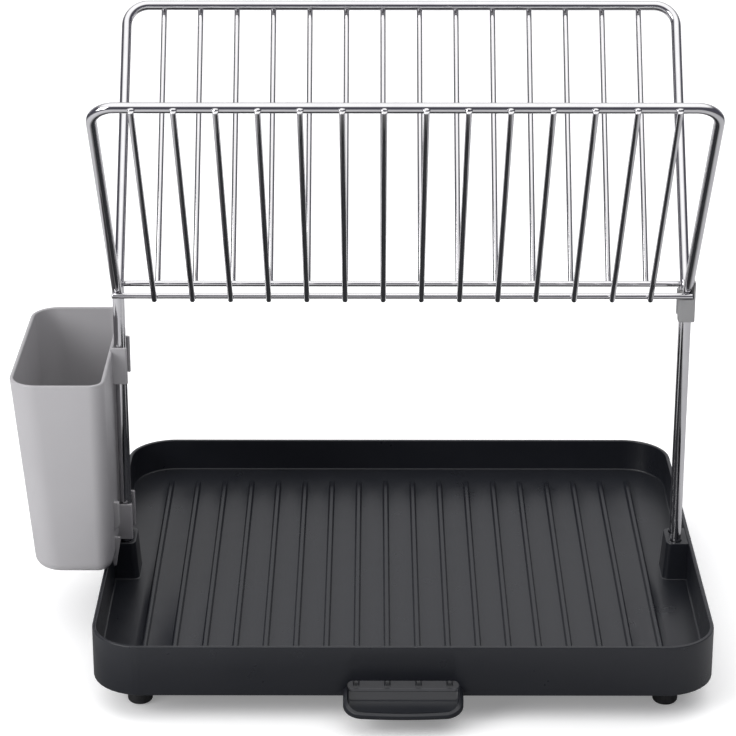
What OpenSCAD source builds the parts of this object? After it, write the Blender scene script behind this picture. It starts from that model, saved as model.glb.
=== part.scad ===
// Two-tier dish drying rack: a ribbed draining tray with a spout, two chrome hoop frames that
// stand in its sockets and lean apart in a V, and a cutlery holder that hooks on to one leg pair.
// Millimetres, +Z up, front of the tray towards -Y. The origin is on the surface that the feet
// stand on, under the centre of the overall box.

/* [Tray] */
// Width of the tray over its walls (left to right)
tray_w = 456; // [420:1:500]
// Depth of the tray over its walls (front to back)
tray_d = 388; // [340:1:420]
// Height of the rim above the worktop
tray_top = 61; // [56:1:75]
// Plan radius of the tray's corners
corner_r = 38; // [20:1:60]
// Thickness of the walls
wall_t = 3; // [2:0.5:4]
// Thickness of the floor
floor_t = 2.5; // [2:0.5:4]
// Height of the floor's surface at the front wall, where the water leaves
floor_front_z = 25.5; // [24.5:0.5:27]
// Height of the floor's surface at the back wall
floor_back_z = 34.5; // [30:0.5:42]

/* [Ribs] */
// Number of raised ribs on the floor
rib_count = 18; // [6:2:24]
// Distance from one rib to the next
rib_pitch = 22.7; // [15:0.1:23]
// Width of a rib
rib_w = 4.2; // [3:0.1:6]
// Height of a rib above the floor
rib_h = 2.4; // [1:0.1:4]
// Plain floor between the ribs' ends and the back wall
rib_back_gap = 26; // [10:1:60]

/* [Feet and spout] */
// Height of the tray's underside above the worktop
foot_h = 21.5; // [18:0.5:22]
// Radius of a foot
foot_r = 9.3; // [6:0.1:10]
// Distance from a foot's centre to the tray's outer faces
foot_inset = 34; // [25:1:45]
// Width of the drain slot in the front wall
slot_w = 81; // [60:1:100]
// Height of the drain slot
slot_h = 8; // [5:0.5:9]
// Width of the spout
spout_w = 87; // [80:1:120]
// How far the spout reaches in front of the tray
spout_reach = 26; // [20:1:40]

/* [Frame] */
// Width of a hoop, between the centres of its legs
hoop_w = 432; // [424:1:434]
// Radius of the hoop rod
rod_r = 3.75; // [3:0.05:4]
// Distance between the front and the back leg, centre to centre
leg_gap = 16.5; // [12:0.5:18]
// Height at which the legs would turn outwards if the bend were sharp
split_z = 267; // [240:1:290]
// Height of the hoops' top rods
hoop_top_z = 450; // [400:1:480]
// Distance of the hoops' top rods from the plane between the legs
hoop_reach = 150; // [110:1:165]
// Radius of the bend at the top corners, on the rod's centre line
corner_bend_r = 17; // [12:1:30]
// Radius of the bend between leg and arm, on the rod's centre line
split_bend_r = 10; // [8:1:30]
// Radius of the cross bars at the foot of the V
bar_r = 2.25; // [2:0.05:3]
// Height of the cross bars
bar_z = 265.5; // [236:0.5:286]
// Number of wires in each side of the V
wire_count = 14; // [8:1:16]
// Radius of a wire
wire_r = 2.1; // [1.5:0.1:2.5]

/* [Cutlery holder] */
// Distance from the centre of the rack to the holder's outer rim
holder_out = 292.5; // [280:0.5:310]
// Length of the holder's rim (front to back)
holder_len = 174; // [140:1:190]
// Height of the holder's rim
holder_top = 220.5; // [190:0.5:230]
// Wall thickness of the holder
holder_t = 2.8; // [2:0.1:4]
// Height of a hook
hook_h = 29.5; // [15:0.5:34]

/* [Hidden] */
$fn = 72;
SHAFT_GAP = 0.3;
WELD_BITE = 0.3;
JOINT_EASE = 0.03;
JOINT_GAP = 0.1;
BIG = 1000;

// The model's origin is under the middle of the whole rack, spout and holder included.
tray_x = (holder_out - tray_w / 2) / 2;
tray_y = spout_reach / 2;

floor_run = tray_d - 2 * wall_t;
floor_slope = atan2(floor_back_z - floor_front_z, floor_run);
floor_mid_z = (floor_front_z + floor_back_z) / 2;
foot_x = tray_w / 2 - foot_inset;
foot_y = tray_d / 2 - foot_inset;
boss_r = foot_r + 1.2;

socket_top = tray_top - 1;
socket_in = 19.5;
socket_len = 31;
leg_bottom = floor_mid_z + 1.3;

leg_x = hoop_w / 2;
leg_y = leg_gap / 2;
arm_lean = atan2(hoop_reach - leg_y, hoop_top_z - split_z);
arm_len = norm([hoop_reach - leg_y, hoop_top_z - split_z]);
split_cut = split_bend_r * tan(arm_lean / 2);

bar_y = leg_y + rod_r + bar_r - WELD_BITE;
bar_len = hoop_w + 2 * rod_r;
wire_pitch = hoop_w / (wire_count + 1);
wire_lean = atan2(hoop_reach - bar_y, hoop_top_z - bar_z);
wire_top_out = rod_r + wire_r - WELD_BITE;
wire_foot_out = bar_r + wire_r - WELD_BITE;
wire_top_past = 3.2;
wire_foot_past = 0.5;

holder_in = leg_x + 4.8;
holder_floor_z = tray_top + 0.4;
holder_end_taper = 13;
holder_side_taper = 11;
hook_floor_z = socket_top + 3.3;
clip_floor_z = 244.5;

function wire_name(side, i) = str(side, "_wire_", i < 10 ? "0" : "", i);

// ---------- helpers ----------

// A rectangle with round corners, centred on the origin.
module rounded_rect(w, d, r) {
    square([w - 2 * r, d], center = true);
    square([w, d - 2 * r], center = true);
    for (sx = [-1, 1], sy = [-1, 1])
        translate([sx * (w / 2 - r), sy * (d / 2 - r)]) circle(r = r);
}

// A round rod from one point to another, with the edges of both its ends rounded over.
module round_ended_rod(from, to, r) {
    run = to - from;
    len = norm(run);
    edge_r = 0.45 * r;
    translate(from) rotate([0, acos(run[2] / len), atan2(run[1], run[0])])
        rotate_extrude() {
            translate([0, edge_r]) square([r, len - 2 * edge_r]);
            square([r - edge_r, len]);
            for (z = [edge_r, len - edge_r]) translate([r - edge_r, z]) circle(r = edge_r);
        }
}

// Puts a part that is described from the tray's centre into the model's own frame.
module on_tray() {
    translate([tray_x, tray_y, 0]) children();
}

// The sloping plane of the tray's floor, as a frame for its children, moved down by drop.
module on_floor(drop = 0) {
    translate([0, 0, floor_mid_z - drop]) rotate([floor_slope, 0, 0]) children();
}

function floor_z(y) = floor_mid_z + y * tan(floor_slope);

// ---------- tray ----------

module tray_walls() {
    translate([0, 0, foot_h])
        linear_extrude(tray_top - foot_h) rounded_rect(tray_w, tray_d, corner_r);
}

module tray_inside() {
    linear_extrude(BIG) rounded_rect(tray_w - 2 * wall_t, tray_d - 2 * wall_t, corner_r - wall_t);
}

module basin() {
    intersection() {
        tray_inside();
        on_floor() translate([-BIG / 2, -BIG / 2, 0]) cube(BIG);
    }
}

module underside() {
    intersection() {
        tray_inside();
        on_floor(floor_t) translate([-BIG / 2, -BIG / 2, -BIG]) cube(BIG);
    }
}

module drain_slot() {
    slot_r = slot_h / 2;
    translate([0, -tray_d / 2 + wall_t + 1, floor_front_z + slot_r + 0.1]) rotate([90, 0, 0]) {
        for (s = [-1, 1]) translate([s * (slot_w / 2 - slot_r), 0, 0]) cylinder(r = slot_r, h = wall_t + 2);
        translate([-slot_w / 2 + slot_r, -slot_r, 0]) cube([slot_w - slot_h, slot_h, wall_t + 2]);
    }
}

module ribs() {
    front = -tray_d / 2 + wall_t - 0.5;
    back = tray_d / 2 - wall_t - rib_back_gap;
    on_floor() for (i = [0:rib_count - 1])
        translate([(i - (rib_count - 1) / 2) * rib_pitch - rib_w / 2, front, -1])
            cube([rib_w, back - front, rib_h + 1]);
}

module foot_bosses() {
    for (sx = [-1, 1], sy = [-1, 1])
        translate([sx * foot_x, sy * foot_y, foot_h])
            cylinder(r = boss_r, h = floor_z(sy * foot_y) - foot_h - 1);
}

// A socket's outline from above: square against the tray's wall, rounded on its inner side.
module socket_plan() {
    r = 5;
    translate([r, -socket_len / 2]) square([socket_in - r, socket_len]);
    translate([0, -socket_len / 2 + r]) square([r, socket_len - 2 * r]);
    for (s = [-1, 1]) translate([r, s * (socket_len / 2 - r)]) circle(r = r);
}

module socket_blocks() {
    base_z = floor_mid_z - 1.5;
    for (m = [0, 1]) mirror([m, 0, 0])
        translate([tray_w / 2 - wall_t / 2 - socket_in, 0, base_z])
            linear_extrude(socket_top - base_z) socket_plan();
}

module socket_bores() {
    for (sx = [-1, 1], sy = [-1, 1])
        translate([sx * leg_x, sy * leg_y, leg_bottom - SHAFT_GAP])
            cylinder(r = rod_r + SHAFT_GAP, h = BIG);
}

module tray() {
    color([0.17, 0.18, 0.2]) on_tray() difference() {
        union() {
            difference() {
                tray_walls();
                basin();
                underside();
            }
            ribs();
            foot_bosses();
            socket_blocks();
        }
        drain_slot();
        socket_bores();
    }
}

// ---------- feet and spout ----------

module foot(sx, sy) {
    edge_r = 2;
    color([0.08, 0.08, 0.09]) on_tray() translate([sx * foot_x, sy * foot_y, 0])
        rotate_extrude() {
            translate([0, edge_r]) square([foot_r, foot_h - edge_r]);
            square([foot_r - edge_r, edge_r]);
            translate([foot_r - edge_r, edge_r]) circle(r = edge_r);
        }
}

// The spout's outline from above, bowed at the lip, smaller by inset all round.
module spout_plan(inset) {
    bow_r = 180;
    back_d = 40;
    intersection() {
        translate([0, -tray_d / 2 - spout_reach + inset + back_d / 2])
            rounded_rect(spout_w - 2 * inset, back_d, 13 - inset);
        translate([0, -tray_d / 2 - spout_reach + inset + bow_r]) circle(r = bow_r, $fn = 360);
    }
}

// An outline of [y, z] points carried across the spout's width.
module across(points) {
    rotate([90, 0, 90]) linear_extrude(2 * spout_w, center = true) polygon(points);
}

module drain_spout() {
    wall_y = -tray_d / 2;
    lip_y = wall_y - spout_reach;
    lip_top = 18.6;
    lip_bottom = 15.2;
    side_top = 29.5;
    root_z = 19.5;
    knee = [wall_y - 7, 20.6];
    color([0.17, 0.18, 0.2]) on_tray() difference() {
        intersection() {
            linear_extrude(BIG) spout_plan(0);
            across([[wall_y, root_z], [wall_y, side_top], [lip_y, lip_top], [lip_y, lip_bottom]]);
        }
        intersection() {
            linear_extrude(BIG) spout_plan(2.8);
            across([[wall_y + 1, floor_front_z], [wall_y + 1, BIG], [lip_y - 5, BIG],
                    [lip_y - 5, lip_bottom + 0.7], knee]);
        }
    }
}

// ---------- frame ----------

// A bend of the hoop rod: starts at the origin going up (+Z) and turns towards +X.
module rod_bend(bend_r, angle) {
    translate([bend_r, 0, 0]) rotate([90, 0, 0]) rotate([0, 0, 180 - angle])
        rotate_extrude(angle = angle) translate([bend_r, 0]) circle(r = rod_r);
}

// A straight length of hoop rod, rising from the origin, that stops short of both its ends.
module straight_rod(len) {
    translate([0, 0, JOINT_GAP]) cylinder(r = rod_r, h = len - 2 * JOINT_GAP);
}

// The ball, hardly thicker than the rod, in which a bend and a straight rod meet.
module rod_joint() {
    sphere(r = rod_r + JOINT_EASE);
}

// The half of a hoop on the +X side without its top rod: leg, bend, leaning arm and corner.
// side is -1 for the front hoop, which leans to -Y, and 1 for the back one.
module half_hoop(side) {
    straight_arm = arm_len - split_cut - corner_bend_r;
    translate([leg_x, side * leg_y, 0]) {
        translate([0, 0, leg_bottom]) straight_rod(split_z - split_cut - leg_bottom);
        translate([0, 0, split_z - split_cut]) {
            rod_joint();
            rotate([0, 0, side * 90]) rod_bend(split_bend_r, arm_lean);
        }
        translate([0, 0, split_z]) rotate([-side * arm_lean, 0, 0]) {
            translate([0, 0, split_cut]) {
                rod_joint();
                straight_rod(straight_arm);
            }
            translate([0, 0, split_cut + straight_arm]) {
                rod_joint();
                rotate([0, 0, 180]) rod_bend(corner_bend_r, 90);
            }
            translate([-corner_bend_r, 0, arm_len]) rod_joint();
        }
    }
}

module hoop(side) {
    top_len = hoop_w - 2 * corner_bend_r;
    color([0.75, 0.76, 0.78]) on_tray() {
        half_hoop(side);
        mirror([1, 0, 0]) half_hoop(side);
        translate([-top_len / 2, side * hoop_reach, hoop_top_z]) rotate([0, 90, 0]) straight_rod(top_len);
    }
}

module bar(side) {
    color([0.75, 0.76, 0.78]) on_tray() translate([-bar_len / 2, side * bar_y, bar_z])
        rotate([0, 90, 0]) cylinder(r = bar_r, h = bar_len);
}

// Wire number i of one side of the V, welded to the outside of the top rod and the bar.
module wire(side, i) {
    x = (i - (wire_count + 1) / 2) * wire_pitch;
    up = [0, side * sin(wire_lean), cos(wire_lean)];
    out = [0, side * cos(wire_lean), -sin(wire_lean)];
    foot = [x, side * bar_y, bar_z] + wire_foot_out * out - wire_foot_past * up;
    head = [x, side * hoop_reach, hoop_top_z] + wire_top_out * out + wire_top_past * up;
    color([0.75, 0.76, 0.78]) on_tray() round_ended_rod(foot, head, wire_r);
}

// The short rod welded between the two left legs, under the bars.
module frame_link() {
    link_r = 2.5;
    half = leg_y - rod_r + WELD_BITE;
    color([0.75, 0.76, 0.78]) on_tray() translate([-leg_x, half, bar_z - 6])
        rotate([90, 0, 0]) cylinder(r = link_r, h = 2 * half);
}

// The clip that locks the two right legs together and covers the bars' ends.
module frame_clip() {
    block_h = bar_z - bar_r - SHAFT_GAP - clip_floor_z;
    inner = 6.8;
    wall = 3;
    cheek_x = rod_r + 0.5;
    cheek_t = 1.4;
    cheek_h = block_h + 13.5;
    tab_t = 2.2;
    tab_w = 5.2;
    tab_h = block_h + 3.5;
    depth = leg_gap + 2 * (rod_r + wall);
    color([0.54, 0.54, 0.55]) on_tray() translate([leg_x, 0, clip_floor_z]) difference() {
        union() {
            translate([-inner, -depth / 2, 0]) cube([inner + cheek_x + cheek_t, depth, block_h]);
            translate([cheek_x, -depth / 2, 0]) cube([cheek_t, depth, cheek_h]);
            translate([-inner, -tab_w / 2, 0]) cube([tab_t, tab_w, tab_h]);
        }
        for (s = [-1, 1]) translate([0, s * leg_y, -1]) cylinder(r = rod_r + SHAFT_GAP, h = block_h + 2);
    }
}

// ---------- cutlery holder ----------

// A thin slice of the holder's outline: its X range from the rack's centre, its length, its
// corner radii on the outer and on the leg side, and its height.
module holder_slice(out_x, in_x, len, out_r, in_r, z) {
    for (s = [-1, 1]) {
        translate([-out_x + out_r, s * (len / 2 - out_r), z]) cylinder(r = out_r, h = 0.1, $fn = 32);
        translate([-in_x - in_r, s * (len / 2 - in_r), z]) cylinder(r = in_r, h = 0.1, $fn = 32);
    }
}

// The holder's tapered body, smaller by inset all round, with a rounded foot.
module holder_body(inset, floor_z, top_z) {
    out_r = 22 - inset;
    in_r = 12 - inset;
    in_x = holder_in + inset;
    foot_out = holder_out - holder_side_taper - inset;
    foot_len = holder_len - 2 * holder_end_taper - 2 * inset;
    hull() {
        holder_slice(holder_out - inset, in_x, holder_len - 2 * inset, out_r, in_r, top_z - 0.1);
        holder_slice(foot_out, in_x, foot_len, out_r, in_r, floor_z + 9);
        holder_slice(foot_out - 2.7, in_x + 1.3, foot_len - 5.4, out_r - 2, in_r - 1, floor_z + 2.7);
        holder_slice(foot_out - 9, in_x + 4, foot_len - 18, out_r - 6, in_r - 3, floor_z);
    }
}

// Two tongues that reach round the front and the back of the left leg pair and snap behind it.
module hook() {
    tongue_t = 2.4;
    tongue_in = leg_y + rod_r + 0.4;
    tip_x = -leg_x + rod_r + 2.8;
    bead_r = 1.6;
    root_x = -holder_in - 1.5;
    linear_extrude(hook_h) {
        for (s = [-1, 1]) {
            translate([root_x, s > 0 ? tongue_in : -tongue_in - tongue_t])
                square([tip_x - root_x - bead_r, tongue_t]);
            translate([tip_x - bead_r, s * (tongue_in + tongue_t - bead_r)]) circle(r = bead_r);
        }
    }
}

// An outline of [x, z] points carried along Y from one distance to another on the side s.
module along_side(s, near, far, points) {
    translate([0, s > 0 ? far : -near, 0]) rotate([90, 0, 0]) linear_extrude(far - near) polygon(points);
}

// On each side of the legs: a pad that steadies the holder, and a fin inside the tray's wall.
module hook_guides() {
    near = 40.5;
    far = 45;
    root_x = -holder_in - 0.8;
    face_x = -leg_x - 0.8;
    pad_low = 82;
    pad_face_low = 89;
    pad_top = 108;
    fin_t = 2.4;
    fin_tip_z = 54.7;
    fin_tip_x = face_x - 3.6;
    fin_back_x = -tray_w / 2 + wall_t + 1.6;
    fin_face_low = 75;
    fin_top = 79;
    for (s = [-1, 1]) {
        along_side(s, near, far,
            [[root_x, pad_low], [root_x, pad_top], [face_x, pad_top], [face_x, pad_face_low]]);
        along_side(s, far - fin_t, far,
            [[root_x, fin_top], [face_x, fin_top], [face_x, fin_face_low], [fin_tip_x, fin_tip_z],
             [fin_back_x + 0.8, fin_tip_z], [fin_back_x, holder_floor_z + 1.6],
             [root_x, holder_floor_z + 6.6]]);
    }
}

module cutlery_holder() {
    color([0.69, 0.69, 0.7]) on_tray() {
        difference() {
            holder_body(0, holder_floor_z, holder_top);
            holder_body(holder_t, holder_floor_z + holder_t, holder_top + 1);
        }
        translate([0, 0, holder_top + 2.5 - hook_h]) hook();
        translate([0, 0, hook_floor_z]) hook();
        hook_guides();
    }
}

tray();
drain_spout();
foot(-1, -1);  // foot_front_left
foot(1, -1);  // foot_front_right
foot(-1, 1);  // foot_back_left
foot(1, 1);  // foot_back_right
hoop(-1);  // front_hoop
hoop(1);  // back_hoop
bar(-1);  // front_bar
bar(1);  // back_bar
frame_link();
frame_clip();
cutlery_holder();
for (i = [1:wire_count]) {
    wire(-1, i);
    wire(1, i);
}
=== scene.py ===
"""Two-tier dish drying rack: its surfaces, materials, floor, lights and camera.

Every mesh is described in millimetres from the centre of the tray, and as_object() turns it into
metres in the frame's own place.
"""

from math import atan2, cos, pi, radians, sin, sqrt, tan

import bmesh
import bpy
from mathutils import Matrix, Vector, noise


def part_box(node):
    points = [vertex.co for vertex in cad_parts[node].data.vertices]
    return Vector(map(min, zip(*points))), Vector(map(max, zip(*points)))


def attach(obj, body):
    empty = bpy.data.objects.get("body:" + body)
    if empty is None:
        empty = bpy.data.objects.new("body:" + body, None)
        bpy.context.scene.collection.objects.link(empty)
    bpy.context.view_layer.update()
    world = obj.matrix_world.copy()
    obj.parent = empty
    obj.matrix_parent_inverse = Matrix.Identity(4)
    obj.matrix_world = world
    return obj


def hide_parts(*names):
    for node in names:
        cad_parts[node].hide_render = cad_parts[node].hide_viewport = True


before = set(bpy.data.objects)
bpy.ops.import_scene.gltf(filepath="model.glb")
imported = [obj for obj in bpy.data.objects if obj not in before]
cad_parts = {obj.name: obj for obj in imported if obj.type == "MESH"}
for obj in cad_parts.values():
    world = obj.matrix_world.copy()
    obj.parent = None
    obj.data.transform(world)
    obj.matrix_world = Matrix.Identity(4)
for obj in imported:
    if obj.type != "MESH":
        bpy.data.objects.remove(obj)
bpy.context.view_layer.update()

MM = 0.001
tray_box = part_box("tray")
CENTRE = Vector(((tray_box[0].x + tray_box[1].x) / 2, (tray_box[0].y + tray_box[1].y) / 2, 0))


def node_box(node):
    """A CAD node's lowest and highest corner, in millimetres from the tray's centre."""
    low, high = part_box(node)
    return (low - CENTRE) / MM, (high - CENTRE) / MM


# ---------- sizes, in millimetres ----------
# X, Y and Z count from the tray's centre, with Z = 0 on the surface that the feet stand on.

TRAY_LOW, TRAY_HIGH = node_box("tray")
HALF_W = TRAY_HIGH.x
HALF_D = TRAY_HIGH.y
RIM_Z = TRAY_HIGH.z
WALL_FOOT_Z = TRAY_LOW.z
WALL_T = 3.0
CORNER_R = 38.0
FLOOR_T = 2.5
FLOOR_FRONT_Z = 25.5
FLOOR_BACK_Z = 34.5
BASE_FILLET = 1.3
RIM_ROUND = 0.9
FOOT_ROUND = 1.0

RIB_COUNT = 18
RIB_PITCH = 22.7
RIB_TOP = 1.15  # half the width of a rib's flat top
RIB_BASE = 2.7  # half the width at its foot
RIB_H = 2.4
RIB_BACK_GAP = 22.0
RIB_BACK_FADE = 20.0
RIB_FRONT_GAP = 3.0
RIB_FRONT_FADE = 4.0

SLOT_W = 81.0
SLOT_H = 8.0
SLOT_Z = FLOOR_FRONT_Z + SLOT_H / 2 + 0.1

SOCKET_TOP = RIM_Z - 1
SOCKET_IN_TOP = 20.0  # how far the block reaches in from the wall's outside, at its top
SOCKET_IN_FOOT = 22.0  # and at the floor
SOCKET_HALF_TOP = 15.0
SOCKET_HALF_FOOT = 16.2
SOCKET_EDGE = 1.0
SOCKET_CORNER_R = 5.0
SOCKET_ROOT = 1.4  # how deep its outer face is sunk in the wall
BORE_R = 4.1
BORE_SINK = 0.7
BORE_SINK_DEPTH = 0.8

FOOT_LOW, FOOT_HIGH = node_box("foot_back_right")
FEET_X = (FOOT_LOW.x + FOOT_HIGH.x) / 2
FEET_Y = (FOOT_LOW.y + FOOT_HIGH.y) / 2
FOOT_R = (FOOT_HIGH.x - FOOT_LOW.x) / 2
FOOT_EDGE = 3.2
FOOT_HOLLOW_R = 2.0
FOOT_PAD_R = 4.5
FOOT_GROOVE = 0.5
FOOT_GROOVE_Z = 17.0
BOSS_R = FOOT_R + 1.2
BOSS_EDGE = 0.4

SPOUT_LOW, SPOUT_HIGH = node_box("drain_spout")
SPOUT_HALF = SPOUT_HIGH.x
SPOUT_LIP_Y = SPOUT_LOW.y
SPOUT_WALL = 2.8
SPOUT_CORNER = 13.0
SPOUT_BOW = 2.4  # how much further the lip's middle reaches than its ends
SPOUT_ROOT_Y = -HALF_D + 0.6
SPOUT_SIDE_TOP = 29.5
SPOUT_SIDE_FALL = 11.2
SPOUT_UNDER_Z = 19.4
SPOUT_UNDER_FALL = 4.2
SPOUT_RAMP_LEN = 6.5
SPOUT_RAMP_FALL = 4.4
SPOUT_BED_FALL = 4.2
SPOUT_SLANT = 0.8  # how steeply the walls' tops fall outwards, away from the lip
SPOUT_BASE_R = 1.6
SPOUT_OUTER_R = 0.5
SPOUT_INNER_R = 0.35
SPOUT_FILLET = 3.0

HOOP_LOW, HOOP_HIGH = node_box("front_hoop")
ROD_R = 3.75
LEG_X = HOOP_HIGH.x - ROD_R
LEG_Y = ROD_R - HOOP_HIGH.y
HOOP_Y = -HOOP_LOW.y - ROD_R
HOOP_Z = HOOP_HIGH.z - ROD_R
LEG_FOOT_Z = HOOP_LOW.z
SPLIT_Z = 267.0  # where a pair of legs leans apart
SPLIT_BEND = 10.0
CORNER_BEND = 17.0

BAR_LOW, BAR_HIGH = node_box("back_bar")
BAR_R = (BAR_HIGH.z - BAR_LOW.z) / 2
BAR_Y = (BAR_LOW.y + BAR_HIGH.y) / 2
BAR_Z = (BAR_LOW.z + BAR_HIGH.z) / 2
BAR_HALF = BAR_HIGH.x

WIRE_COUNT = 14
WIRE_R = 2.1
WELD_BITE = 0.3  # how far welded rods sink into each other
WIRE_HEAD = 3.0  # how far a wire runs past its hoop
WIRE_TAIL = 0.5  # and past its bar
HEAD_WELD = (2.6, 1.7, 1.7)  # half lengths of a bead: across, along and out
HEAD_WELD_UP = 2.3
TAIL_WELD = (2.5, 1.6, 0.9)
BAR_WELD = (2.3, 1.1, 1.2)
BAR_WELD_UP = 1.9
BAR_WELD_OUT = 0.4
LINK_WELD = (2.9, 2.9, 0.8)

CLIP_LOW, CLIP_HIGH = node_box("frame_clip")
CLIP_TOP = BAR_Z - BAR_R - 0.3
CLIP_BORE_R = ROD_R + 0.3
CLIP_EDGE = 0.9
CLIP_LIP = 2.0
CLIP_STEP_FRONT_Y, CLIP_STEP_BACK_Y = -7.5, -4.5
CLIP_CHEEK_IN = LEG_X + ROD_R + 0.5
CLIP_CHEEK_EDGE = 0.65
CLIP_TAB_T = 2.2
CLIP_TAB_HALF = 2.6
CLIP_TAB_EDGE = 0.6

HOLDER_LOW, HOLDER_HIGH = node_box("cutlery_holder")
HOLDER_OUT = -HOLDER_LOW.x
HOLDER_IN = LEG_X + 4.8
HOLDER_HALF = HOLDER_HIGH.y
HOLDER_TOP = 220.5
HOLDER_FLOOR_Z = RIM_Z + 0.4
HOLDER_T = 2.8
HOLDER_TAPER_Z = HOLDER_FLOOR_Z + 9
HOLDER_END_TAPER = 13.0
HOLDER_SIDE_TAPER = 11.0
HOLDER_OUT_R = 22.0
HOLDER_IN_R = 12.0
HOLDER_RIM_R = 1.1
HOLDER_BASE_R = 9.0
HOLDER_BED_R = 7.0
HOLDER_LEVELS = (100, 140, 180)
HOOK_H = 29.5
HOOK_T = 2.4
HOOK_GAP = 0.4  # between a tongue and the leg that it passes
HOOK_BARB = 0.9  # how far a tongue's tip turns in behind the leg
HOOK_EDGE = 0.75
HOOK_TIP_X = -LEG_X + ROD_R + 2.8
HOOK_FLOOR_Z = SOCKET_TOP + 3.3
HOOK_TOP_Z = HOLDER_HIGH.z
GUIDE_X = -LEG_X - 0.8
GUIDE_OUT_Y = 45.0
PAD_T = 4.5
PAD_LOW_Z, PAD_HIGH_Z = 82.0, 108.0
PAD_CUT = 7.0  # how much higher its lower face is at the legs than at the box
FIN_T = 2.4
FIN_X = -HALF_W + WALL_T + 1.6
FIN_LOW_Z, FIN_HIGH_Z = 54.7, 79.0


# ---------- points and meshes ----------

def steps(count):
    """Shares from 0 to 1, both included."""
    return [i / count for i in range(count + 1)]


def smooth_share(x, start, end):
    """0 at start, 1 at end, with an easy turn at both."""
    t = min(1.0, max(0.0, (x - start) / (end - start)))
    return t * t * (3 - 2 * t)


def quarter(r, count=4):
    """(across, up) of a quarter round that starts level and ends upright."""
    return [(r * sin(t * pi / 2), r * (1 - cos(t * pi / 2))) for t in steps(count)]


class Shape:
    """The points and faces of one surface, gathered ring by ring."""

    def __init__(self):
        self.points = []
        self.faces = []

    def ring(self, points):
        """Adds points and gives their numbers."""
        start = len(self.points)
        self.points += [tuple(p) for p in points]
        return list(range(start, len(self.points)))

    def bridge(self, a, b, closed=True):
        """A strip of faces between two rings of as many points."""
        for i in range(len(a) if closed else len(a) - 1):
            j = (i + 1) % len(a)
            self.faces.append((a[i], a[j], b[j], b[i]))

    def loft(self, rings):
        """A closed skin over the rings, with a cap on the first and the last."""
        made = [self.ring(r) for r in rings]
        for a, b in zip(made, made[1:]):
            self.bridge(a, b)
        self.faces += [tuple(made[0]), tuple(made[-1])]
        return self


def tidy_mesh(mesh, sharp=38):
    """Welds double points, turns the faces outwards and marks the edges that stay crisp."""
    bm = bmesh.new()
    bm.from_mesh(mesh)
    bmesh.ops.remove_doubles(bm, verts=bm.verts, dist=1e-6)
    bmesh.ops.dissolve_degenerate(bm, edges=bm.edges, dist=1e-7)
    bmesh.ops.recalc_face_normals(bm, faces=bm.faces)
    for face in bm.faces:
        face.smooth = True
    for edge in bm.edges:
        if len(edge.link_faces) == 2 and edge.calc_face_angle(0) > radians(sharp):
            edge.smooth = False
    bm.to_mesh(mesh)
    bm.free()


def as_object(name, shapes):
    """One mesh object, in metres, from shapes in millimetres."""
    points, faces = [], []
    for shape in shapes:
        start = len(points)
        points += [Vector(p) * MM + CENTRE for p in shape.points]
        faces += [tuple(i + start for i in face) for face in shape.faces]
    mesh = bpy.data.meshes.new(name)
    mesh.from_pydata(points, [], faces)
    tidy_mesh(mesh)
    made = bpy.data.objects.new(name, mesh)
    bpy.context.scene.collection.objects.link(made)
    return made


def combine(base, shapes, operation):
    """Adds each shape to base with UNION, or takes it away with DIFFERENCE."""
    tools = [as_object("tool", [shape]) for shape in shapes]
    for tool in tools:
        step = base.modifiers.new("step", "BOOLEAN")
        step.object = tool
        step.operation = operation
        step.solver = "EXACT"
    graph = bpy.context.evaluated_depsgraph_get()
    mesh = bpy.data.meshes.new_from_object(base.evaluated_get(graph))
    base.modifiers.clear()
    base.data = mesh
    tidy_mesh(mesh)
    for tool in tools:
        bpy.data.objects.remove(tool)


def piece(made, material, body, slot, *nodes):
    """Gives a finished object its material and body, and lets it stand for its CAD nodes."""
    made.data.materials.clear()
    made.data.materials.append(material)
    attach(made, body)
    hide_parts(*nodes)
    return made


def rounded_ring(x0, x1, y0, y1, left_r, right_r, z, arc=8):
    """A level ring with round corners. left_r is the radius at x0 and right_r at x1."""
    corners = [(x1 - right_r, y1 - right_r, right_r, 0), (x0 + left_r, y1 - left_r, left_r, 90),
               (x0 + left_r, y0 + left_r, left_r, 180), (x1 - right_r, y0 + right_r, right_r, 270)]
    return [(cx + r * cos(radians(start + 90 * t)), cy + r * sin(radians(start + 90 * t)), z)
            for cx, cy, r, start in corners for t in steps(arc)]


def bent_path(corners, radii, count=12):
    """The corners as one smooth line, with an arc of its own radius at each inner corner."""
    points = [Vector(corners[0])]
    for before, at, after, r in zip(corners, corners[1:], corners[2:], radii):
        at = Vector(at)
        u = (at - Vector(before)).normalized()
        v = (Vector(after) - at).normalized()
        turn = u.angle(v)
        middle = at + (v - u).normalized() * (r / cos(turn / 2))
        start = at - u * (r * tan(turn / 2)) - middle
        axis = u.cross(v).normalized()
        for t in steps(count):
            points.append(middle + Matrix.Rotation(turn * t, 3, axis) @ start)
    points.append(Vector(corners[-1]))
    return points


def round_tube(path, radii, sides=24):
    """A closed round tube whose rings follow the path, each with its own radius."""
    path = [Vector(p) for p in path]
    ahead = [(b - a).normalized() for a, b in zip(path, path[1:])]
    along = [ahead[0]] + [(a + b).normalized() for a, b in zip(ahead, ahead[1:])] + [ahead[-1]]
    across = along[0].orthogonal().normalized()
    rings = []
    for point, direction, radius in zip(path, along, radii):
        across = (across - direction * across.dot(direction)).normalized()
        other = direction.cross(across)
        rings.append([point + radius * (across * cos(2 * pi * k / sides) + other * sin(2 * pi * k / sides))
                      for k in range(sides)])
    return Shape().loft(rings)


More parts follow.
